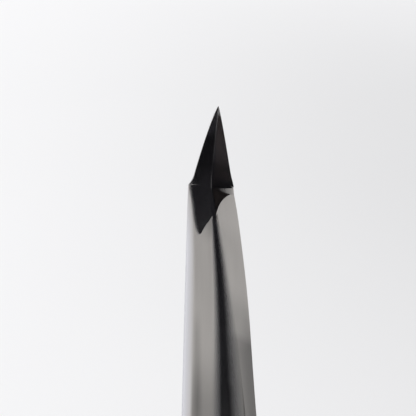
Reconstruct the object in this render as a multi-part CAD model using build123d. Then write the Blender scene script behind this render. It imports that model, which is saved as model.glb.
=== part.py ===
from build123d import *
import math
import os

# Stiff, narrow boning knife with a full tang, two bolsters and two riveted wooden scales.
# Millimetres. +X runs from the handle to the point, +Z from the cutting edge to the spine,
# +Y to the left of somebody who looks from the handle towards the point.
# The knife stands on the heel of its blade and on the beak of its butt, both at Z = 0,
# and the origin is at the middle of its length.

# Driving dimensions: lengths
overall_length = 280.0
blade_length = 150.0
bolster_length = 14.0
point_length = 17.0

# Driving dimensions: heights above the plane that the heel and the butt stand on
spine_height_heel = 25.0
spine_height_break = 23.6
tip_height = 23.46
handle_bottom_front = 4.2

# Driving dimensions: thickness
tang_thickness = 3.0
handle_width = 17.6
bolster_front_width = 9.0
edge_land = 0.22
land_height = 0.9

# Half thickness of the blade just behind the break. The left side then grows evenly. The right side
# grows late, is drawn in close to the break and swells a little behind it.
left_front = 1.13
left_growth = 0.0037
right_front = 1.27
right_growth_power = 2.5
right_dip = 0.24
right_dip_length = 6.0
right_swell = 0.045
right_swell_place = 17.0
right_swell_length = 7.0

# The spine's corners are ground down to two facets that leave a narrow flat strip between them.
# A steeper rim runs along the left facet.
facet_length = 95.0
facet_slope = math.tan(math.radians(20))
rim_slope = math.tan(math.radians(50))
rim_width = 0.40
rim_width_break = 0.06
rim_length = 6.0
strip_half_break = 0.03
strip_growth = 0.0112
strip_margin = 0.10

# Asymmetric grind: the strip and the tip wander off the tang's middle plane
strip_offset_break = 0.08
strip_offset_break_length = 5.0
strip_offset_behind = -0.33
strip_offset_behind_length = 13.0
tip_offset = -0.47

# The point's sides are slightly full: 1 would be straight to the tip
left_fullness = 0.78
right_fullness = 0.90
point_runs = (0.0, 0.3, 0.55, 0.75, 0.9)

# The edge rises early behind the heel and again, more steeply, towards the point
early_rise = 0.46
early_rise_power = 0.8
late_rise_power = 4.5

# Places along the blade, as distances behind the break, where its faces change
blade_stations = (0, 2, 5, 9, 14, 21, 30, 45, 60, 75, 95, 110, 121)

# Rivets and pins
rivet_head_radius = 4.0
rivet_head_depth = 2.4
rivet_barrel_radius = 2.5
rivet_stud_radius = 1.6
rivet_stations = (0.16, 0.50, 0.84)
rivet_height_front = 12.6
rivet_height_drop = 0.8
barrel_reach = 2.0
stud_gap = 1.0
bolster_pin_radius = 1.5
bolster_pin_setback = 1.0
bolster_pin_heights = (9.5, 19.5)

# Handle and bolsters. The back and belly lines are given by points: a share of the scale's length
# behind the bolster, with a height over the heel's spine for the back or over the ground for the belly.
back_line = ((0.30, 0.5), (0.65, -0.7))
belly_line = ((0.72, 3.6), (0.38, 1.9))
belly_drop_bolster = 0.7
butt_drop = 2.0
bolster_bow = 1.3
bolster_bow_shift = 1.5
handle_edge_radius = 4.5
butt_top_radius = 9.0
beak_radius = 6.5
beak_turn = 30.0
outline_overrun = 8.0
cut_margin = 1.0
cutter_height = 60.0

# Places that follow from the driving dimensions
tip_x = overall_length / 2
butt_x = -overall_length / 2
bolster_front_x = tip_x - blade_length
bolster_back_x = bolster_front_x - bolster_length
heel_x = bolster_front_x + 2.0
break_x = tip_x - point_length
plunge_x = break_x - blade_stations[-1]
half_tang = tang_thickness / 2
half_handle = handle_width / 2
scale_length = bolster_back_x - butt_x


def handle_outline():
    """Side view of the tang and the scales. It runs past the bolster's front, where it is cut off."""
    butt_top = spine_height_heel - butt_drop
    top_centre = (butt_x + butt_top_radius, butt_top - butt_top_radius)
    beak_centre = (butt_x + beak_radius, beak_radius)
    beak_exit = math.radians(beak_turn)
    beak_end = (
        beak_centre[0] + beak_radius * math.sin(beak_exit),
        beak_radius * (1 - math.cos(beak_exit)),
    )
    outline_front = bolster_front_x + outline_overrun
    back = [(bolster_back_x - share * scale_length, spine_height_heel + rise) for share, rise in back_line]
    belly = [(bolster_back_x - share * scale_length, height) for share, height in belly_line]
    with BuildSketch(Plane.XZ) as outline:
        with BuildLine():
            Spline(
                (outline_front, spine_height_heel),
                *back,
                (top_centre[0], butt_top),
                tangents=((-1, 0), (-1, 0)),
            )
            CenterArc(top_centre, butt_top_radius, 90, 90)
            Line((butt_x, top_centre[1]), (butt_x, beak_radius))
            CenterArc(beak_centre, beak_radius, 180, 90 + beak_turn)
            Spline(
                beak_end,
                *belly,
                (bolster_back_x, handle_bottom_front - belly_drop_bolster),
                (outline_front, handle_bottom_front),
                tangents=((math.cos(beak_exit), math.sin(beak_exit)), (1, 0)),
            )
            Line((outline_front, handle_bottom_front), (outline_front, spine_height_heel))
        make_face()
    return outline.sketch


def edge_height(x):
    """Height of the cutting edge: quickly narrow behind the heel, sweeping up to the point."""
    run = max(x - heel_x, 0.0) / (tip_x - heel_x)
    early = early_rise * run**early_rise_power
    return tip_height * (early + (1 - early_rise) * run**late_rise_power)


def spine_height(x):
    """Height of the spine: it falls from the bolster and levels out towards the break."""
    run = (break_x - x) / (break_x - heel_x)
    return spine_height_break + (spine_height_heel - spine_height_break) * run**2


def blade_section(behind, grind):
    """Cross-section of the blade, some way behind the break.

    grind is 0 at the full-thickness heel and 1 on the ground blade.
    """
    x = break_x - behind
    share = min(behind / facet_length, 1.0)
    left = min(left_front + left_growth * behind, half_tang)
    growth = (behind / (break_x - plunge_x)) ** right_growth_power
    right = min(right_front + (half_tang - right_front) * growth, half_tang)
    right -= right_dip * math.exp(-behind / right_dip_length)
    right += right_swell * math.exp(-(((behind - right_swell_place) / right_swell_length) ** 2))
    strip_half = min(strip_half_break + strip_growth * behind, half_tang - strip_margin)
    swing = 1 - math.exp(-((behind / strip_offset_behind_length) ** 2))
    centre = strip_offset_break * math.exp(-behind / strip_offset_break_length)
    centre += strip_offset_behind * swing * (1 - share)
    rim = rim_width * (1 - math.exp(-behind / rim_length)) * (1 - share) + rim_width_break
    top = spine_height(x)
    bottom = edge_height(x)
    rim_inner = left - rim
    rim_top = top - facet_slope * (rim_inner - centre - strip_half)
    land = half_tang + (edge_land - half_tang) * grind
    points = [
        (centre - strip_half, top),
        (centre + strip_half, top),
        (rim_inner, rim_top),
        (left, rim_top - rim_slope * rim),
        (land, bottom + land_height),
        (0, bottom),
        (-land, bottom + land_height),
        (-right, top - facet_slope * (right + centre - strip_half)),
    ]
    return x, points


def point_section(run):
    """Cross-section of the point: the break's section drawn in to the tip, its sides slightly full."""
    x = break_x + point_length * run
    corners = blade_section(0, 1.0)[1]
    ridge = (corners[0][0] + corners[1][0]) / 2
    points = []
    for y, z in corners:
        fullness = left_fullness if y > ridge else right_fullness
        middle = ridge + (tip_offset - ridge) * run
        points.append((middle + (y - ridge) * (1 - run) ** fullness, z + (tip_height - z) * run))
    points[5] = (points[5][0], edge_height(x))
    return x, points


def section_wire(section):
    """A closed outline across the knife, from its place along X and its (y, z) corners."""
    x, points = section
    return Wire.make_polygon([Vector(x, y, z) for y, z in points], close=True)


def make_blade():
    """Blade and full tang in one piece of steel, drilled for the rivets and bolster pins."""
    sections = [blade_section(break_x - heel_x, 0.0)]
    for behind in reversed(blade_stations):
        sections.append(blade_section(behind, 1.0))
    body = Solid.make_loft([section_wire(section) for section in sections], ruled=True)
    point_wires = [section_wire(point_section(run)) for run in point_runs]
    point_back = Solid.make_loft(point_wires, ruled=True)
    tip = Vertex(tip_x, tip_offset, tip_height)
    point_front = Solid.make_loft([point_wires[-1], tip], ruled=True)
    tang = extrude(handle_outline(), amount=half_tang, both=True) & region(butt_x - cut_margin, heel_x, 0)
    blade = Part() + body + point_back + point_front + tang
    blade = drill(blade, rivet_places(), rivet_barrel_radius)
    return drill(blade, bolster_pin_places(), bolster_pin_radius)


def rivet_places():
    """Centres of the three rivets, along the middle of the handle."""
    places = []
    for share in rivet_stations:
        height = rivet_height_front - rivet_height_drop * share
        places.append((bolster_back_x - share * scale_length, height))
    return places


def bolster_pin_places():
    """Centres of the two hidden pins that hold the bolsters."""
    middle = (bolster_front_x + bolster_back_x) / 2 - bolster_pin_setback
    return [(middle, height) for height in bolster_pin_heights]


def across(x, z, radius, length):
    """A cylinder along Y, centred on the tang's middle plane."""
    return Pos(x, 0, z) * Rot(90, 0, 0) * Cylinder(radius, length)


def along_y(x, z, radius, start, stop):
    """A cylinder along Y from start to stop."""
    length = stop - start
    return Pos(x, start + length / 2, z) * Rot(90, 0, 0) * Cylinder(radius, length)


def handle_slab(side):
    """One half of the handle, bolster included, with its outer edges rounded over."""
    slab = extrude(handle_outline(), amount=-side * half_handle)
    outer = slab.faces().sort_by(Axis.Y)[-1 if side > 0 else 0]
    front = bolster_front_x + outline_overrun - cut_margin
    rounded = [edge for edge in outer.edges() if edge.center().X < front]
    return fillet(rounded, handle_edge_radius)


def region(x_start, x_stop, side):
    """A box between two places along the knife, on one side of the tang, or on both for side 0."""
    sideways = {1: Align.MIN, 0: Align.CENTER, -1: Align.MAX}[side]
    box = Box(x_stop - x_start, handle_width, cutter_height, align=(Align.MIN, sideways, Align.CENTER))
    return Pos(x_start, side * half_tang, spine_height_heel / 2) * box


def make_scale(slab, side):
    """Wooden handle scale: flat outside with rounded edges, counterbored for the rivets."""
    scale = slab & region(butt_x - cut_margin, bolster_back_x, side)
    scale = drill(scale, rivet_places(), rivet_barrel_radius)
    head_start = half_handle - rivet_head_depth
    for x, z in rivet_places():
        span = sorted((side * head_start, side * (half_handle + cut_margin)))
        scale -= along_y(x, z, rivet_head_radius, span[0], span[1])
    return scale


def bolster_cheek(slab, side):
    """Steel bolster half, thinning from the scale's width to a narrow front."""
    bolster = slab & region(bolster_back_x, bolster_front_x, side)
    front = side * bolster_front_width / 2
    back = side * half_handle
    middle_x = (bolster_front_x + bolster_back_x) / 2 + bolster_bow_shift
    bowed = (middle_x, front + side * bolster_bow)
    with BuildSketch(Plane.XY) as top_view:
        with BuildLine():
            ThreePointArc((bolster_front_x, front), bowed, (bolster_back_x, back))
            Polyline(
                (bolster_back_x, back),
                (bolster_back_x, 0),
                (bolster_front_x, 0),
                (bolster_front_x, front),
            )
        make_face()
    return bolster & extrude(top_view.sketch, amount=cutter_height, both=True)


def make_rivet_stud(place):
    """Left half of a cutlery rivet: a head with a shank that presses into the socket."""
    x, z = place
    head_inner = half_handle - rivet_head_depth
    stud = along_y(x, z, rivet_head_radius, head_inner, half_handle)
    stud += along_y(x, z, rivet_barrel_radius, head_inner - barrel_reach, head_inner)
    stud += along_y(x, z, rivet_stud_radius, -head_inner + stud_gap, head_inner - barrel_reach)
    return stud


def make_rivet_socket(place):
    """Right half of a cutlery rivet: a head with a hollow barrel."""
    x, z = place
    head_inner = half_handle - rivet_head_depth
    socket = along_y(x, z, rivet_head_radius, -half_handle, -head_inner)
    socket += along_y(x, z, rivet_barrel_radius, -head_inner, head_inner - barrel_reach)
    socket -= along_y(x, z, rivet_stud_radius, -head_inner + stud_gap, head_inner - barrel_reach)
    return socket


def make_parts():
    """Every piece of the knife by name."""
    parts = {"blade": make_blade()}
    tang_layer = Box(2 * overall_length, tang_thickness, 2 * cutter_height)
    pin_hull = region(bolster_back_x, bolster_front_x, 0) & tang_layer
    for name, side in {"left": 1, "right": -1}.items():
        slab = handle_slab(side)
        parts[f"scale_{name}"] = make_scale(slab, side)
        cheek = bolster_cheek(slab, side)
        pin_hull += cheek
        parts[f"bolster_{name}"] = drill(cheek, bolster_pin_places(), bolster_pin_radius)
    for name, place in zip(("lower", "upper"), bolster_pin_places()):
        parts[f"bolster_pin_{name}"] = across(*place, bolster_pin_radius, handle_width) & pin_hull
    for name, place in zip(("front", "middle", "rear"), rivet_places()):
        parts[f"rivet_stud_{name}"] = make_rivet_stud(place)
        parts[f"rivet_socket_{name}"] = make_rivet_socket(place)
    return parts


def drill(solid, places, radius):
    """The solid with a hole straight across it at each place."""
    for x, z in places:
        solid -= across(x, z, radius, handle_width * 2)
    return solid


os.makedirs("parts", exist_ok=True)
for name, part in make_parts().items():
    export_step(part, f"parts/{name}.step")
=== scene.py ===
# %% [markdown]
# # A boning knife in Blender
# A boning knife is a stiff, narrow steel blade with a full tang, held between two wooden scales.
# The CAD model gives every size. This notebook gives the knife its surfaces: a blade with satin
# and polished faces, oiled wood, bright bolsters and brass rivets.

# %% Load the frame
import math

import bmesh
import bpy
from mathutils import Matrix, Vector


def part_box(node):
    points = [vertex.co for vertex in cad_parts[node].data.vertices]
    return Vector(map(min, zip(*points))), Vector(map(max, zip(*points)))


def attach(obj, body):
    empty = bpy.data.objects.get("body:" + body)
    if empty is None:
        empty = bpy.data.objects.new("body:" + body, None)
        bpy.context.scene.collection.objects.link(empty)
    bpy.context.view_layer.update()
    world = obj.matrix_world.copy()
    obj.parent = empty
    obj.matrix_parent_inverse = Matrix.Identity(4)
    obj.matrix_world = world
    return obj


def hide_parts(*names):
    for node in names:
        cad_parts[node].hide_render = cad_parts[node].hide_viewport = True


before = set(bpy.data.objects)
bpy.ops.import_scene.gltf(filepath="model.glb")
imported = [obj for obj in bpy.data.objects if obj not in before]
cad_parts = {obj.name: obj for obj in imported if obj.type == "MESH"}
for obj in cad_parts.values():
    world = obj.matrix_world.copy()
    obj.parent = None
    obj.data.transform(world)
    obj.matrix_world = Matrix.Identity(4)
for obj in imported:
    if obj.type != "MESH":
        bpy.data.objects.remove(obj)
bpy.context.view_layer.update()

# %% [markdown]
# The blade is drawn in millimetres, because its faces are a few tenths of a millimetre wide.
# All its places follow from the tip and from the break, the line where the ground point begins.
# Behind the break the ground blade runs back to the plunge, where the full thickness begins.

# %% Sizes of the blade, in millimetres
MM = 0.001
tip_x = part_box("blade")[1][0] / MM
point_length = 17.0
break_x = tip_x - point_length
blade_length = 150.0
heel_setback = 2.0
heel_x = tip_x - blade_length + heel_setback
ground_run = 121.0
spine_height_heel = 25.0
spine_height_break = 23.6
tip_height = 23.46
tip_offset = -0.47
half_tang = 1.5
edge_land = 0.22
land_height = 0.9
print("break at x =", round(break_x, 2), "mm, heel at x =", round(heel_x, 2), "mm")

# %% [markdown]
# ## The camera
# The knife is seen close up, from above its own spine, looking forward along the blade to the point.
# The camera hangs over the middle of the blade, a little to the left of it, and is rolled a few degrees.

# %% Camera
camera_place = Vector((26.41, 2.80, 49.48)) * MM
camera_heading = math.radians(-1.589)
camera_pitch = math.radians(15.659)
camera_roll = math.radians(4.66)
field_of_view = math.radians(11.177)


def make_camera():
    """A camera that looks along +X and down, turned by a heading and a roll."""
    forward = Vector((
        math.cos(camera_pitch) * math.cos(camera_heading),
        math.cos(camera_pitch) * math.sin(camera_heading),
        -math.sin(camera_pitch),
    ))
    level_right = forward.cross(Vector((0, 0, 1))).normalized()
    right = level_right * math.cos(camera_roll) + level_right.cross(forward) * math.sin(camera_roll)
    up = right.cross(forward)
    data = bpy.data.cameras.new("camera")
    data.sensor_fit = "HORIZONTAL"
    data.angle = field_of_view
    data.clip_start = 0.002
    data.clip_end = 50.0
    camera = bpy.data.objects.new("camera", data)
    bpy.context.scene.collection.objects.link(camera)
    turn = Matrix((right, up, -forward)).transposed().to_4x4()
    camera.matrix_world = Matrix.Translation(camera_place) @ turn
    bpy.context.scene.camera = camera
    print("camera at", [round(v, 4) for v in camera_place], "with a lens of", round(data.lens), "mm")


make_camera()

# %% [markdown]
# ## The studio
# A pale floor and a pale surround give the plain background. Polished steel shows only what it
# mirrors, so a dark card stands in front of the point, where the spine's polished faces look.
# The card is seen by mirrors alone: it hides nothing from the camera and casts no shadow.

# %% Helpers for objects and materials
def add_object(name, mesh):
    """Put a mesh in the scene as an object at the origin."""
    thing = bpy.data.objects.new(name, mesh)
    bpy.context.scene.collection.objects.link(thing)
    return thing


def mesh_from(bm, name):
    """Turn a finished bmesh into a mesh."""
    mesh = bpy.data.meshes.new(name)
    bm.to_mesh(mesh)
    bm.free()
    return mesh


def new_material(name):
    """An empty principled material, with its node tree and its shader."""
    material = bpy.data.materials.new(name)
    material.use_nodes = True
    shader = material.node_tree.nodes["Principled BSDF"]
    return material, material.node_tree, shader


def add_node(tree, kind, **values):
    """Add a node. Values name its inputs, with _ for a space, or its own settings."""
    node = tree.nodes.new(kind)
    for key, value in values.items():
        socket = key.replace("_", " ")
        if socket in node.inputs:
            node.inputs[socket].default_value = value
        else:
            setattr(node, key, value)
    return node


def object_pattern(tree, scale, shift=(0, 0, 0)):
    """Object coordinates, stretched and then shifted by a Mapping node."""
    place = add_node(tree, "ShaderNodeTexCoord")
    mapping = add_node(tree, "ShaderNodeMapping", Scale=scale, Location=shift)
    tree.links.new(place.outputs["Object"], mapping.inputs["Vector"])
    return mapping.outputs["Vector"]


def ramp(tree, source, stops):
    """A colour ramp over a value, with (position, colour) stops."""
    node = tree.nodes.new("ShaderNodeValToRGB")
    tree.links.new(source, node.inputs["Fac"])
    elements = node.color_ramp.elements
    while len(elements) < len(stops):
        elements.new(0.5)
    for element, (position, colour) in zip(elements, stops):
        element.position = position
        element.color = (*colour, 1)
    return node.outputs["Color"]


def remap(tree, source, low, high):
    """Turn a value between 0 and 1 into one between low and high."""
    node = add_node(tree, "ShaderNodeMapRange", To_Min=low, To_Max=high)
    tree.links.new(source, node.inputs["Value"])
    return node.outputs["Result"]


# A Mix node keeps a set of sockets for each kind of value: its share, its two sides and its result.
mix_sockets = {"RGBA": (0, 6, 7, 2), "FLOAT": (0, 2, 3, 0)}


def mixed(tree, kind, share, first, second, blend="MIX"):
    """A Mix node between two colours or numbers. All three may be sockets or values."""
    node = add_node(tree, "ShaderNodeMix", data_type=kind, blend_type=blend)
    for source, index in zip((share, first, second), mix_sockets[kind]):
        if isinstance(source, bpy.types.NodeSocket):
            tree.links.new(source, node.inputs[index])
        else:
            node.inputs[index].default_value = source
    return node.outputs[mix_sockets[kind][3]]


def multiplied(tree, first, second, share=1.0):
    """The first colour darkened by the second. Both may be sockets or values."""
    return mixed(tree, "RGBA", share, first, second, "MULTIPLY")


def bump(tree, shader, source, strength, distance):
    """Raise the surface by a value."""
    node = add_node(tree, "ShaderNodeBump", Strength=strength, Distance=distance)
    tree.links.new(source, node.inputs["Height"])
    tree.links.new(node.outputs["Normal"], shader.inputs["Normal"])


# %% Floor and world
# The pool is painted shade: a darker patch in the floor's colour, right of the blade.
pool_x, pool_y = 0.208, -0.034
pool_length, pool_width = 0.20, 0.068
pool_shade = 0.78


def make_floor():
    """A wide pale floor that the knife stands on, with a soft pool of shade painted into its colour on the
    right.
    """
    bm = bmesh.new()
    bmesh.ops.create_grid(bm, x_segments=8, y_segments=8, size=12.0)
    floor = add_object("floor", mesh_from(bm, "floor"))
    material, tree, shader = new_material("floor_paper")
    grain = add_node(tree, "ShaderNodeTexNoise", Scale=9.0, Detail=3.0)
    tree.links.new(object_pattern(tree, (1, 1, 1)), grain.inputs["Vector"])
    tint = ramp(tree, grain.outputs["Fac"], [(0.3, (0.875, 0.875, 0.88)), (0.7, (0.90, 0.90, 0.905))])
    shrink = (1 / pool_length, 1 / pool_width, 0)
    shift = (-pool_x / pool_length, -pool_y / pool_width, 0)
    pool = add_node(tree, "ShaderNodeTexGradient", gradient_type="SPHERICAL")
    tree.links.new(object_pattern(tree, shrink, shift), pool.inputs["Vector"])
    fall = add_node(tree, "ShaderNodeMapRange", interpolation_type="SMOOTHSTEP", To_Min=1, To_Max=pool_shade)
    tree.links.new(pool.outputs["Fac"], fall.inputs["Value"])
    tree.links.new(multiplied(tree, tint, fall.outputs["Result"]), shader.inputs["Base Color"])
    shader.inputs["Roughness"].default_value = 0.9
    shader.inputs["Specular IOR Level"].default_value = 0.1
    floor.data.materials.append(material)


def make_world():
    """Pale, even light from all around. At the horizon it is as light as the floor."""
    world = bpy.data.worlds.new("surround")
    world.use_nodes = True
    tree = world.node_tree
    direction = add_node(tree, "ShaderNodeTexCoord")
    height = add_node(tree, "ShaderNodeSeparateXYZ")
    tree.links.new(direction.outputs["Generated"], height.inputs["Vector"])
    rise = add_node(tree, "ShaderNodeMapRange", interpolation_type="SMOOTHSTEP", From_Max=0.18)
    tree.links.new(height.outputs["Z"], rise.inputs["Value"])
    sky = mixed(tree, "RGBA", rise.outputs["Result"], (0.81, 0.81, 0.815, 1), (0.90, 0.90, 0.908, 1))
    tree.links.new(sky, tree.nodes["Background"].inputs["Color"])
    bpy.context.scene.world = world


make_floor()
make_world()
bpy.context.scene.view_settings.view_transform = "Standard"

# %% Dark card and soft lights
def card_paint(name):
    """Black felt, a little warmer low down on the right, too faint to see except in a mirror."""
    material, tree, shader = new_material(name)
    pattern = object_pattern(tree, (1, 1, 1))
    place = add_node(tree, "ShaderNodeSeparateXYZ")
    tree.links.new(pattern, place.inputs["Vector"])
    to_right = add_node(tree, "ShaderNodeMapRange", From_Min=0.05, From_Max=-0.05)
    tree.links.new(place.outputs["Y"], to_right.inputs["Value"])
    to_top = add_node(tree, "ShaderNodeMapRange", From_Min=0.113, From_Max=0.122)
    tree.links.new(place.outputs["Z"], to_top.inputs["Value"])
    black, warm, high = (0.008, 0.008, 0.010, 1), (0.053, 0.040, 0.037, 1), (0.022, 0.021, 0.024, 1)
    low = mixed(tree, "RGBA", to_right.outputs["Result"], black, warm)
    colour = mixed(tree, "RGBA", to_top.outputs["Result"], low, high)
    tree.links.new(colour, shader.inputs["Base Color"])
    shader.inputs["Roughness"].default_value = 1.0
    shader.inputs["Specular IOR Level"].default_value = 0.0
    return material


def make_card(name, centre, facing, width, height):
    """A dull black card that only mirrors can see."""
    bm = bmesh.new()
    bmesh.ops.create_grid(bm, x_segments=1, y_segments=1, size=0.5)
    bmesh.ops.scale(bm, vec=(width, height, 1), verts=bm.verts)
    turn = Vector(facing).to_track_quat("Z", "Y").to_matrix()
    bmesh.ops.rotate(bm, cent=(0, 0, 0), matrix=turn, verts=bm.verts)
    bmesh.ops.translate(bm, vec=centre, verts=bm.verts)
    card = add_object(name, mesh_from(bm, name))
    card.data.materials.append(card_paint(name))
    card.visible_camera = False
    card.visible_diffuse = False
    card.visible_shadow = False


def make_softbox(name, place, target, size, power):
    """A square area light that points at a target."""
    data = bpy.data.lights.new(name, "AREA")
    data.shape = "SQUARE"
    data.size = size
    data.energy = power
    light = bpy.data.objects.new(name, data)
    bpy.context.scene.collection.objects.link(light)
    light.location = place
    aim = Vector(place) - Vector(target)
    light.rotation_euler = aim.to_track_quat("Z", "Y").to_euler()
    light.visible_camera = False


card_place = Vector((tip_x, 0, tip_height)) * MM + Vector((0.50, 0.0, 0.135))
make_card("dark_card", card_place, facing=(-1, 0, -0.25), width=0.30, height=0.17)
make_softbox("light_above", (0.05, 0.20, 2.00), target=(0.05, 0, 0), size=1.6, power=6.0)
make_softbox("light_left", (0.40, 2.20, 1.50), target=(0.05, 0, 0.02), size=1.4, power=8.0)
print("card at", [round(v, 3) for v in card_place])

# %% [markdown]
# ## Steel
# The blade has several finishes. Its sides are ground across, so fine lines run from spine to
# edge. The two facets along the spine are finished lengthways with a belt, which leaves long soft
# streaks. The point, the strip between the facets and the run-outs behind the point are polished.
# All are metallic shaders; noise stretched along one direction gives the lines. On the spine the
# finishes flow into each other, so one material mixes them by numbers stored on the mesh's points.
# Two of these numbers paint shade and reflection into the colour, and the rim's bright steel is
# partly a painted glint.

# %% Steel finishes
# Polish and rim choose the finish; the last two paint shade and reflection into the steel's colour.
finishes = ("polish", "rim", "painted_shade", "painted_reflection")


def line_noise(tree, scale):
    """Fine lines and broad soft blotches. Returns the fine value and a mix of both."""
    fine = add_node(tree, "ShaderNodeTexNoise", Scale=1.0, Detail=4.0, Roughness=0.6)
    tree.links.new(object_pattern(tree, scale), fine.inputs["Vector"])
    broad = add_node(tree, "ShaderNodeTexNoise", Scale=1.0, Detail=2.0)
    tree.links.new(object_pattern(tree, (22, 90, 90)), broad.inputs["Vector"])
    return fine.outputs["Fac"], mixed(tree, "FLOAT", 0.4, fine.outputs["Fac"], broad.outputs["Fac"])


def steel(name, colour, darker, roughness, spread, lines, line_scale, anisotropy=0.0):
    """Metal with fine lines: line_scale stretches the noise, spread varies the roughness."""
    material, tree, shader = new_material(name)
    shader.inputs["Metallic"].default_value = 1.0
    shader.inputs["Anisotropic"].default_value = anisotropy
    fine, blend = line_noise(tree, line_scale)
    tint = ramp(tree, blend, [(0.25, darker), (0.75, colour)])
    tree.links.new(tint, shader.inputs["Base Color"])
    rough = remap(tree, blend, roughness - spread, roughness + spread)
    tree.links.new(rough, shader.inputs["Roughness"])
    bump(tree, shader, fine, lines, 0.00002)
    return material


def spine_steel(name):
    """The spine's steel: satin, polished or bright, by the mesh's attributes, with painted shade on the
    satin, a painted reflection on the polished steel and a partly painted glint on the bright rim.
    """
    material, tree, shader = new_material(name)
    shader.inputs["Metallic"].default_value = 1.0
    fine, blend = line_noise(tree, (60, 3200, 3200))
    attributes = {}
    for key in finishes:
        node = add_node(tree, "ShaderNodeAttribute", attribute_name=key)
        attributes[key] = node.outputs["Fac"]
    satin = ramp(tree, blend, [(0.25, (0.505, 0.48, 0.455)), (0.75, (0.60, 0.575, 0.545))])
    # Painted shade darkens the satin steel's colour.
    satin = multiplied(tree, satin, attributes["painted_shade"])
    # Painted reflection darkens or lightens the polished steel's colour; it also sets the specular tint.
    polished = multiplied(tree, (0.30, 0.30, 0.31, 1), attributes["painted_reflection"])
    # The rim is a real rounded edge in smoother steel; its lighter, bluish colour is partly a painted glint.
    colour = mixed(tree, "RGBA", attributes["rim"], satin, (0.62, 0.62, 0.68, 1))
    colour = mixed(tree, "RGBA", attributes["polish"], colour, polished)
    tree.links.new(colour, shader.inputs["Base Color"])
    tree.links.new(attributes["painted_reflection"], shader.inputs["Specular Tint"])
    rough = remap(tree, blend, 0.36, 0.48)
    rough = mixed(tree, "FLOAT", attributes["rim"], rough, 0.25)
    rough = mixed(tree, "FLOAT", attributes["polish"], rough, 0.09)
    tree.links.new(rough, shader.inputs["Roughness"])
    bump(tree, shader, fine, 0.15, 0.00002)
    return material


def make_steels():
    """The blade's materials, by name."""
    return {
        "side": steel("steel_satin_side", (0.44, 0.44, 0.445), (0.27, 0.27, 0.275), 0.30, 0.08, 0.5,
                      (4200, 4200, 70), 0.4),
        "spine": spine_steel("steel_spine"),
        "edge": steel("steel_honed_edge", (0.72, 0.72, 0.73), (0.62, 0.62, 0.63), 0.16, 0.04, 0.2,
                      (5200, 5200, 400)),
        "tang": steel("steel_tang", (0.58, 0.58, 0.57), (0.48, 0.48, 0.47), 0.28, 0.05, 0.3,
                      (90, 3000, 3000), 0.3),
    }


steels = make_steels()
steel_slots = list(steels)
print("steel materials:", ", ".join(steel_slots))

# %% [markdown]
# ## The blade
# The blade is one skin. A ring of points round its cross-section is extruded again and again
# along its length, and each new ring is moved to the next cross-section. The corners of the
# section stay on the same points of the ring, so every facet edge is a clean line of mesh edges,
# and each face between two rings can take its own finish.
#
# The grind is not symmetric. The left side grows evenly behind the break. The right side is drawn in
# close to the break and swells a little behind it. The strip starts as a fine line, widens towards
# the handle and wanders to the right, and the left facet has a steeper rim.

# %% How the section changes along the blade
early_rise = 0.46
early_rise_power = 0.8
late_rise_power = 4.5
facet_length = 95.0
facet_slope = math.tan(math.radians(20))
rim_slope = math.tan(math.radians(50))
left_front = 1.13
left_growth = 0.0037
right_front = 1.27
right_growth_power = 2.5
right_dip = 0.24
right_dip_length = 6.0
right_swell = 0.045
right_swell_place = 17.0
right_swell_length = 7.0
rim_width = 0.40
rim_width_break = 0.06
rim_length = 6.0
strip_half_break = 0.03
strip_growth = 0.0112
strip_margin = 0.10
strip_offset_break = 0.08
strip_offset_break_length = 5.0
strip_offset_behind = -0.33
strip_offset_behind_length = 13.0


def mix(a, b, share):
    """The value that lies the given share of the way from a to b."""
    return a + (b - a) * share


def smooth_step(value):
    """0 below 0, 1 above 1, and a smooth rise between."""
    value = min(max(value, 0.0), 1.0)
    return value * value * (3 - 2 * value)


def stepped(value, start, steps):
    """A start and a sum of smooth steps, each given as (where it begins, its length, its height)."""
    return start + sum(height * smooth_step((value - begin) / length) for begin, length, height in steps)


def spine_height(x):
    """The spine falls from the bolster and levels out towards the break."""
    run = (break_x - x) / (break_x - heel_x)
    return spine_height_break + (spine_height_heel - spine_height_break) * run**2


def edge_height(x):
    """The edge rises behind the heel and sweeps up to the point."""
    run = max(x - heel_x, 0.0) / (tip_x - heel_x)
    early = early_rise * run**early_rise_power
    return tip_height * (early + (1 - early_rise) * run**late_rise_power)


def corners(behind):
    """Sideways places of the section's corners: right shoulder, strip, rim and left shoulder."""
    behind = max(behind, 0.0)
    share = min(behind / facet_length, 1.0)
    left = min(left_front + left_growth * behind, half_tang)
    right = mix(right_front, half_tang, min(behind / ground_run, 1.0) ** right_growth_power)
    right += right_swell * math.exp(-(((behind - right_swell_place) / right_swell_length) ** 2))
    right -= right_dip * math.exp(-behind / right_dip_length)
    half = min(strip_half_break + strip_growth * behind, half_tang - strip_margin)
    settled = (1 - math.exp(-((behind / strip_offset_behind_length) ** 2))) * (1 - share)
    centre = strip_offset_break * math.exp(-behind / strip_offset_break_length)
    centre += strip_offset_behind * settled
    rim = rim_width * (1 - math.exp(-behind / rim_length)) * (1 - share) + rim_width_break
    return -right, centre - half, centre + half, left - rim, left


# %% [markdown]
# Behind the break the polish runs out over the facets in two leaf shapes: a long one on the left
# and a short curved one on the right. Their outlines are columns of the mesh, so they stay crisp
# there, while the strip's own borders grow softer towards the handle.

# %% Outlines of the two leaves
left_leaf_length = 8.0
left_leaf_split = 5.7
left_leaf_tip = 0.57
left_leaf_outer = 1.02
left_leaf_taper = 0.27
left_leaf_hook = 0.16
left_leaf_hook_power = 10
right_leaf_length = 5.8
right_leaf_end = 0.06
right_leaf_reach = 1.095
right_leaf_curve = 3.0
drift_length = 5.0
crisp = 0.02


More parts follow.
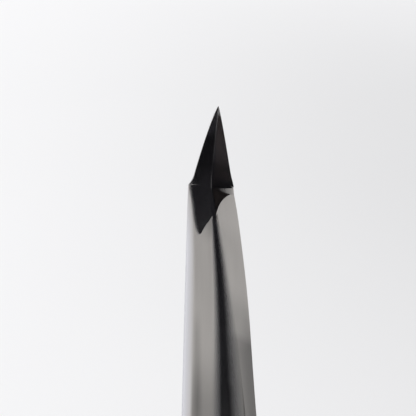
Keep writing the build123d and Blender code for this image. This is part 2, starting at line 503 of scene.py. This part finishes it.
def left_leaf(behind, strip_left, rim_inner):
    """Inner and outer outline of the left leaf, which splits from the strip before its tip.

    Past the tip the two columns drift apart again.
    """
    share = (behind - left_leaf_split) / (left_leaf_length - left_leaf_split)
    inner = mix(strip_left, left_leaf_tip, min(max(share, 0.0), 1.0))
    run = min(behind / left_leaf_length, 1.0)
    outer = left_leaf_outer - left_leaf_taper * run - left_leaf_hook * run**left_leaf_hook_power
    outer = min(outer, rim_inner - crisp)
    drift = smooth_step((behind - left_leaf_length) / drift_length) * 0.9
    inner = mix(inner, mix(strip_left, rim_inner, 0.25), drift)
    outer = mix(outer, mix(strip_left, rim_inner, 0.80), drift)
    return inner, max(outer, inner + 3 * crisp)


def right_leaf(behind, shoulder, strip_right):
    """Outline of the right leaf, a curve that comes in to the strip."""
    outline = right_leaf_end - right_leaf_reach * math.exp(-behind / right_leaf_curve)
    outline = min(max(outline, shoulder + crisp), strip_right - crisp)
    drift = smooth_step((behind - right_leaf_length) / drift_length)
    return mix(outline, mix(strip_right, shoulder, 0.4), drift)


# %% [markdown]
# Each column of points carries its own finish. Where two finishes flow into each other, a soft border
# lies between two columns. The borders of the strip start crisp at the break and grow with the strip.

# %% Columns of points across the top of the blade
soft_right_border = {"share": 0.41, "start": 0.004, "growth": 0.013, "most": 0.30}
soft_left_border = {"share": 0.34, "start": 0.003, "growth": 0.008, "most": 0.20}
leaf_columns = 7
rim_columns = 4


def border(kind, width, behind):
    """Width of a soft border of the strip, some way behind the break."""
    return min(kind["share"] * width, kind["start"] + kind["growth"] * behind, kind["most"])


def top_columns(behind):
    """Points from the right shoulder to the left one, as (y, polish, rim)."""
    shoulder, strip_right, strip_left, rim_inner, left = corners(behind)
    leaf = right_leaf(behind, shoulder, strip_right)
    inner, outer = left_leaf(behind, strip_left, rim_inner)
    on_right = 1.0 if behind < right_leaf_length else 0.0
    on_left = 1.0 if behind < left_leaf_length else 0.0
    beside = 1.0 if behind < left_leaf_split else 0.0
    soft_right = border(soft_right_border, strip_left - strip_right, behind)
    soft_left = border(soft_left_border, strip_left - strip_right, behind)
    span = outer - inner
    soft_inner = min(stepped(behind, crisp, [(left_leaf_split, 1.5, 0.10)]), 0.25 * span)
    soft_outer = min(0.12, 0.30 * span)
    leaf_polish = on_left * (1 - 0.12 * smooth_step(behind / left_leaf_length))
    room = 0.45 * (inner - strip_left)
    columns = [(shoulder, 0, 0), (mix(shoulder, leaf, 0.5), 0, 0), (leaf, 0, 0)]
    columns += [(mix(leaf + crisp, strip_right - soft_right, step / 3), on_right, 0) for step in range(4)]
    columns += [(strip_right + soft_right, 1, 0), (mix(strip_right, strip_left, 0.5), 1, 0)]
    columns += [(strip_left - soft_left, 1, 0), (strip_left + min(soft_left, room), beside, 0)]
    columns += [(inner + crisp * 0.4, beside, 0)]
    for step in range(leaf_columns):
        y = mix(inner + soft_inner, outer - soft_outer, step / (leaf_columns - 1))
        columns.append((y, leaf_polish, 0))
    # The rim's lighter steel, partly a painted glint, takes a growing share of the rim over the first 10 mm
    # behind the break.
    glow = stepped(behind, 0.35, [(0, 10, 0.65)])
    halo = on_left * stepped(behind, 1, [(4, 3, -1)])
    columns += [(outer, 0.45 * on_left, 0), (mix(outer, rim_inner, 0.5), 0.40 * halo, 0)]
    columns += [(rim_inner, 0.35 * halo, 0)]
    for step in range(1, rim_columns + 1):
        share = step / rim_columns
        columns.append((mix(rim_inner, left, share), 0, share * glow))
    return columns


# The column in the middle of the strip goes on as the ridge of the point.
ridge_column = 8
top_count = len(top_columns(1.0))
print("points across the top of the blade:", top_count)


def top_height(behind, across):
    """Height of the top surface: the strip is level, the facets and the rim fall away from it."""
    shoulder, strip_right, strip_left, rim_inner, left = corners(behind)
    height = spine_height(break_x - behind)
    if across < strip_right:
        height -= facet_slope * (strip_right - across)
    elif across > strip_left:
        height -= facet_slope * (across - strip_left)
        past = max(across - rim_inner, 0.0)
        height -= (rim_slope - facet_slope) * past * past / (left - rim_inner)
    return height - hollow(behind, across)


leaf_hollow = 0.05


def hollow(behind, across):
    """Depth of the hollow ground into a leaf: a share of its width, most in the middle."""
    shoulder, strip_right, strip_left, rim_inner, left = corners(behind)
    if across > strip_left and behind < left_leaf_length:
        inner, outer = left_leaf(behind, strip_left, rim_inner)
        length = left_leaf_length
    elif across < strip_right and behind < right_leaf_length:
        inner, outer = right_leaf(behind, shoulder, strip_right), strip_right
        length = right_leaf_length
    else:
        return 0.0
    share = (across - inner) / max(outer - inner, 0.001)
    if share <= 0 or share >= 1:
        return 0.0
    along = math.sin(math.pi * min(max(behind, 0.0) / length, 1.0) ** 0.7)
    return leaf_hollow * math.sin(math.pi * share) * along * (outer - inner)


# %% [markdown]
# The break itself is not quite square to the blade: it dips back in the middle and reaches forward
# at the left shoulder. On the right a thin crescent widens towards the shoulder, and on the left
# there is only a fleck: both are painted highlights, bands of lighter satin steel. Four rings draw
# the break, all within a millimetre or so of it.

# %% The bowed break
crescent_start = 0.10
crescent_width = 0.34
crescent_reach = 0.82
crescent_span = 0.96
crescent_curve = 1.3
fleck_start = 0.5
fleck_growth = 0.15
front_edge = 0.012
back_edge = 0.02
break_dip = 0.62
break_reach_left = 1.05
bowed_length = 2.0
break_rings = ("point", "crescent front", "crescent back", "leaf")


def dip(across):
    """How far the break lies behind its straight line: most in the middle."""
    if across > 0:
        return mix(break_dip, -break_reach_left, min(across / left_front, 1.0))
    return break_dip * max(1 + across / (right_front - right_dip), 0.0)


def out_right(across):
    """How far out on the right a place is: 0 in the middle, about 1 at the shoulder, in a curve."""
    return max(-across / crescent_span, 0.0) ** crescent_curve


def bow(across):
    """How far the crescent and the fleck reach behind the straight line of the break."""
    crescent = crescent_start + crescent_width * out_right(across)
    return dip(across) + crescent + fleck_growth * max(across - fleck_start, 0.0)


def bowed(station, across):
    """Distance behind the break of a ring point. Named stations are the rings of the break."""
    front = dip(across) - crescent_reach * out_right(across)
    if station == "point":
        return front
    if station == "crescent front":
        return front + front_edge
    if station == "crescent back":
        return bow(across) - back_edge
    if station == "leaf":
        return bow(across)
    if station < bowed_length:
        return mix(bow(across), bowed_length, station / bowed_length)
    return station


def crescent_highlight_polish(across):
    """The painted highlight of the crescent and the fleck: the band is polished in the middle and turns to
    lighter satin at the shoulders.
    """
    if across < 0:
        return stepped(-across, 1, [(0.05, 0.75, -0.62), (0.75, 0.2, -0.30)])
    return stepped(across, 1, [(fleck_start, 0.45, -0.60)])


# %% [markdown]
# Two numbers paint light and shade into the steel's colour. The painted reflection darkens or
# lightens the polished faces, and the painted shade darkens the satin ones. Both change along the blade in
# smooth steps.

# %% Painted reflection on the polished steel and painted shade on the satin steel
leaf_painted_reflection = 0.50
shade_line_place = 0.74
shade_line_half_width = 0.2
# The most that painted shade darkens the satin steel.
darkest = 0.75


def painted_reflection(behind, across):
    """Painted reflection behind the break, a factor on the polished colour: darker in the right leaf and
    further back along the blade.
    """
    if behind < right_leaf_length and across < corners(behind)[1]:
        return leaf_painted_reflection
    return stepped(behind, 1, [(22, 6, -0.25)])


def point_painted_reflection(run, on_right):
    """Painted reflection on the ground point: each side has a darker stretch and grows lighter towards the
    tip, a painted highlight.
    """
    if on_right:
        return stepped(run, 0.74, [(0.20, 0.22, 0.95), (0.55, 0.15, -0.30)])
    return stepped(run, 0.92, [(0.12, 0.12, -0.28), (0.56, 0.16, 1.15)])


def painted_shade(behind, across):
    """Painted shade, a factor on the satin colour: the rim darker near the break, both facets darkened for a
    stretch, the right one more, with a dark line on the left one, the facets' shade fading towards the
    handle.
    """
    late = smooth_step((behind - 17) / 5)
    if across > corners(behind)[3]:
        return stepped(behind, 0.80, [(0, 10, 0.12)])
    if across < 0:
        shade = stepped(behind, 0, [(5, 4, 0.11), (15, 4, 0.22), (20.5, 2, 0.27)])
        shade += late * stepped(-across, 0, [(0.9, 0.3, 0.20)])
    else:
        shade = stepped(behind, 0, [(22, 8, 0.42)])
        shade += stepped(behind, 0.35, [(7, 3, -0.35)]) * smooth_step((0.55 - across) / 0.3)
        # A painted dark line along the left facet.
        shade_line = stepped(behind, 0.34, [(27, 5, -0.20)])
        shade += shade_line * late * max(0.0, 1 - abs(across - shade_line_place) / shade_line_half_width)
    return 1 - min(shade, darkest) * stepped(behind, 1, [(34, 20, -1)])


# %% Rings of points
side_steps = 7
plain = (0, 0, 1, 1)
ridge_fleck = 0.45
ridge_fleck_length = 0.8


def ring(station):
    """One cross-section, from the right shoulder over the top, left side, edge and right side.

    Each point is (behind, y, z, polish, rim, painted shade, painted reflection). On a bowed ring a
    point's place across the blade depends on how far behind the break it is, and the other way round,
    so both are worked out in turns until they settle.
    """
    number = 0.0 if isinstance(station, str) else station
    points = []
    for index in range(top_count):
        behind = number
        for turn in range(3):
            y, polish, rim = top_columns(behind)[index]
            behind = bowed(station, y)
        # The crescent and the fleck are painted highlights: bands of lighter satin steel.
        if station in ("crescent front", "crescent back"):
            polish = crescent_highlight_polish(y)
        # At the break the ridge starts with a painted highlight, a fleck of lighter satin steel.
        if index == ridge_column:
            polish = mix(ridge_fleck, 1.0, smooth_step((behind - break_dip) / ridge_fleck_length))
        finish = (polish, rim, painted_shade(behind, y), mix(1.0, painted_reflection(behind, y), polish))
        points.append((behind, y, top_height(behind, y), *finish))
    right, left = points[0], points[-1]
    for shoulder, side in ((left, 1), (right, -1)):
        behind, y, z = shoulder[:3]
        bottom = edge_height(break_x - behind) + land_height
        wall = []
        for step in range(1, side_steps + 1):
            share = step / side_steps
            wall.append((behind, mix(y, side * edge_land, share), mix(z, bottom, share), *plain))
        if side > 0:
            points += wall + [(behind, 0.0, bottom - land_height, *plain)]
        else:
            points += reversed(wall)
    return points


ring_stretches = ((36.0, 2.5), (14.0, 1.0), (bowed_length, 0.25), (0.0, 0.2))


def ring_stations():
    """The rings from the plunge forward to the break, closer together stretch by stretch."""
    stations = []
    start = ground_run
    for end, spacing in ring_stretches:
        count = round((start - end) / spacing)
        stations += [start - spacing * step for step in range(count)]
        start = end
    return stations + list(reversed(break_rings))


# %% [markdown]
# The point is the break's section drawn in towards the tip. Its sides are slightly full, and close
# to the break they flare out to meet the blade's shoulders. A painted highlight, a fine line of lighter
# satin steel, follows the ridge.

# %% The ground point
ridge_line = 0.026
rim_line = 0.05
least_width = 0.12
settle_run = 0.1
shoulder_run = 0.06
left_taper = {"fullness": 0.78, "shoulder": 0.048, "flare": 0.05, "length": 0.08}
right_taper = {"fullness": 0.90, "shoulder": 0.045, "flare": 0.0, "length": 0.16}


def narrowing(run, taper):
    """How wide one side of the point still is. It flares out to meet the blade's shoulder."""
    rise = smooth_step((run - shoulder_run) / taper["length"])
    straight = (1 - run) ** taper["fullness"]
    return straight + taper["shoulder"] * (1 - rise) - taper["flare"] * rise * (1 - run) ** 2


def point_place(index, run):
    """Where a top point of the break's section moves to as the point narrows, as a y of that section."""
    shoulder, strip_right, strip_left, rim_inner, left = corners(0.0)
    ridge = 0.5 * (strip_right + strip_left)
    if index == ridge_column:
        return ridge
    line = ridge_line / max(1 - run, least_width)
    if index < ridge_column:
        return mix(shoulder, ridge - line, index / (ridge_column - 1))
    rim = rim_line / max(1 - run, least_width)
    last = top_count - rim_columns
    if index <= last:
        return mix(ridge + line, left - rim, (index - ridge_column - 1) / (last - ridge_column - 1))
    return mix(left - rim, left, (index - last) / (rim_columns - 1))


def ridge_highlight_polish(run):
    """A painted highlight along the ridge, a fine line of lighter satin steel: clear at the break, fainter,
    then clearer towards the tip.
    """
    return stepped(run, ridge_fleck, [(0.03, 0.12, 0.38), (0.15, 0.25, -0.25)]) - 0.30 * run**6


def point_ring(run):
    """A ring of the ground point: the break's section drawn in towards the tip."""
    base = ring("point")
    ridge, ridge_top = base[ridge_column][1:3]
    settle = smooth_step(run / settle_run)
    # Near the tip the right faces of the point turn partly satin, so lighter.
    satin_near_tip = stepped(run, 0, [(0.84, 0.06, 0.55)])
    points = []
    for index, point in enumerate(base):
        y, z, polish, rim = point[1:5]
        on_right = index < ridge_column or index > top_count + side_steps
        if index < top_count:
            y = mix(y, point_place(index, run), settle)
            z = top_height(0.0, y)
            polish = 1 - satin_near_tip if index < ridge_column else 1.0
            # The ridge of the point carries the painted highlight line.
            if index == ridge_column:
                polish = ridge_highlight_polish(run)
            # The point's two outermost left columns are satin with some rim steel: a bright line along its
            # left edge, partly a painted glint.
            if index >= top_count - 2:
                polish = 0.0
        width = narrowing(run, right_taper if on_right else left_taper)
        y = mix(ridge, tip_offset, run) + (y - ridge) * width
        z = mix(ridge_top, tip_height, run) + (z - ridge_top) * (1 - run)
        # The point's polished faces take their painted reflection, lighter towards the tip.
        shine = mix(painted_reflection(0.0, y), point_painted_reflection(run, on_right), settle)
        points.append((-point_length * run, y, z, polish, rim, 1.0, mix(1.0, shine, polish)))
    low = top_count + side_steps
    points[low] = (*points[low][:2], edge_height(break_x + point_length * run), *plain)
    return points


# %% Draw the skin
def ring_slot(index):
    """The material of the faces between a ring point and the next one."""
    if index < top_count - 1:
        return steel_slots.index("spine")
    if index - top_count + 1 in (side_steps, side_steps + 1):
        return steel_slots.index("edge")
    return steel_slots.index("side")


def set_point(bm, vert, point):
    """Move a vertex to a ring point and store its finish."""
    behind, y, z, *finish = point
    vert.co = Vector((break_x - behind, y, z)) * MM
    for key, value in zip(finishes, finish):
        vert[bm.verts.layers.float[key]] = value


def start_ring(bm, points):
    """The ring that the skin starts from."""
    loop = [bm.verts.new() for point in points]
    for vert, after, point in zip(loop, loop[1:] + loop[:1], points):
        bm.edges.new((vert, after))
        set_point(bm, vert, point)
    return loop


def extrude_ring(bm, loop, points):
    """Extrude a closed loop of points and move the new loop to the next section."""
    count = len(loop)
    edges = [bm.edges.get((loop[i], loop[(i + 1) % count])) for i in range(count)]
    made = bmesh.ops.extrude_edge_only(bm, edges=edges)["geom"]
    fresh = {item for item in made if isinstance(item, bmesh.types.BMVert)}
    new_loop = []
    for vert, point in zip(loop, points):
        partner = next(e.other_vert(vert) for e in vert.link_edges if e.other_vert(vert) in fresh)
        set_point(bm, partner, point)
        new_loop.append(partner)
    for i in range(count):
        edge = bm.edges.get((new_loop[i], new_loop[(i + 1) % count]))
        edge.link_faces[0].material_index = ring_slot(i)
    return new_loop


def crease(bm, loop):
    """Keep the edges of a ring sharp."""
    for vert, after in zip(loop, loop[1:] + loop[:1]):
        bm.edges.get((vert, after)).smooth = False


# %% [markdown]
# The tang is the same in CAD, with its rivet holes, so a copy of the CAD blade is cut off behind
# the ground blade and bridged to the open end of the new skin.

# %% Join the tang
def add_tang(bm, loop, plane_x):
    """Bridge the skin's first ring to the tang of the CAD blade."""
    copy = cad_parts["blade"].data.copy()
    tang = bmesh.new()
    tang.from_mesh(copy)
    bmesh.ops.remove_doubles(tang, verts=tang.verts, dist=1e-7)
    everything = tang.verts[:] + tang.edges[:] + tang.faces[:]
    bmesh.ops.bisect_plane(
        tang, geom=everything, dist=1e-8, plane_co=(plane_x, 0, 0), plane_no=(1, 0, 0), clear_outer=True
    )
    for face in tang.faces:
        on_flat = abs(face.normal.y) > 0.9
        face.material_index = steel_slots.index("side" if on_flat else "tang")
    tang.to_mesh(copy)
    tang.free()
    before = set(bm.faces)
    bm.from_mesh(copy)
    bpy.data.meshes.remove(copy)
    crease(bm, loop)
    rim = [edge for edge in bm.edges if edge.is_boundary]
    bridge = bmesh.ops.bridge_loops(bm, edges=rim)["faces"]
    for face in bridge:
        face.material_index = steel_slots.index("side")
    return [face for face in bm.faces if face not in before]


point_rings = 30
first_run = 0.03
last_run = 0.9995
ring_crowding = 1.2
tang_gap = 1.0


def make_blade():
    """The whole blade: ground blade, point and tang in one closed skin."""
    bm = bmesh.new()
    for key in finishes:
        bm.verts.layers.float.new(key)
    stations = ring_stations()
    first = start_ring(bm, ring(stations[0]))
    loop = first
    for station in stations[1:]:
        loop = extrude_ring(bm, loop, ring(station))
        if station in break_rings:
            crease(bm, loop)
    for step in range(1, point_rings + 1):
        run = mix(first_run, 1.0, 1 - (1 - step / point_rings) ** ring_crowding)
        loop = extrude_ring(bm, loop, point_ring(min(run, last_run)))
    bmesh.ops.pointmerge(bm, verts=loop, merge_co=Vector((tip_x, tip_offset, tip_height)) * MM)
    for face in bm.faces:
        face.smooth = True
    for face in add_tang(bm, first, (break_x - ground_run - tang_gap) * MM):
        face.smooth = False
    bmesh.ops.recalc_face_normals(bm, faces=bm.faces)
    blade = add_object("blade_ground", mesh_from(bm, "blade_ground"))
    for name in steel_slots:
        blade.data.materials.append(steels[name])
    blade.data.set_sharp_from_angle(angle=math.radians(24))
    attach(blade, "root")
    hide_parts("blade")
    print("blade:", len(blade.data.polygons), "faces")


make_blade()

# %% [markdown]
# ## Bolsters, pins and rivets
# These stay as the CAD model has them. The bolsters and their pins are polished steel, and the
# rivets are brass, ground flush with the wood, so both carry fine lines from the belt.

# %% Bolster steel and brass
bolster_steel = steel("bolster_steel", (0.46, 0.455, 0.45), (0.33, 0.325, 0.32), 0.20, 0.06, 0.3,
                      (3000, 3000, 90), 0.2)
brass = steel("rivet_brass", (0.78, 0.56, 0.25), (0.58, 0.39, 0.16), 0.26, 0.06, 0.2,
              (90, 3000, 3000), 0.2)


def finish_nodes(prefix, material):
    """Give every CAD node whose name starts with a prefix this material."""
    named = [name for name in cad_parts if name.startswith(prefix)]
    for name in named:
        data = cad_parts[name].data
        for index in range(len(data.materials)):
            data.materials[index] = material
    print(material.name, "on", ", ".join(sorted(named)))


finish_nodes("bolster", bolster_steel)
finish_nodes("rivet", brass)

# %% [markdown]
# ## Wood
# The scales are dark, oiled hardwood. The grain runs along the handle: stretched noise gives the
# growth bands, a finer stretched noise the pores, which are also a little rougher and sunk.

# %% Handle wood
def wood():
    """Dark close-grained wood with bands, streaks and pores along X."""
    material, tree, shader = new_material("handle_wood")
    bands = add_node(tree, "ShaderNodeTexNoise", Scale=1.0, Detail=5.0, Distortion=0.6)
    tree.links.new(object_pattern(tree, (14, 190, 150)), bands.inputs["Vector"])
    pores = add_node(tree, "ShaderNodeTexNoise", Scale=1.0, Detail=3.0)
    tree.links.new(object_pattern(tree, (160, 2600, 2600)), pores.inputs["Vector"])
    grain = ramp(tree, bands.outputs["Fac"], [
        (0.30, (0.030, 0.011, 0.006)),
        (0.45, (0.085, 0.030, 0.014)),
        (0.58, (0.150, 0.058, 0.026)),
        (0.72, (0.060, 0.020, 0.010)),
    ])
    specks = ramp(tree, pores.outputs["Fac"], [(0.38, (0.25, 0.25, 0.25)), (0.50, (1, 1, 1))])
    tree.links.new(multiplied(tree, grain, specks, 0.8), shader.inputs["Base Color"])
    tree.links.new(remap(tree, pores.outputs["Fac"], 0.50, 0.30), shader.inputs["Roughness"])
    bump(tree, shader, pores.outputs["Fac"], 0.5, 0.00008)
    return material


finish_nodes("scale", wood())
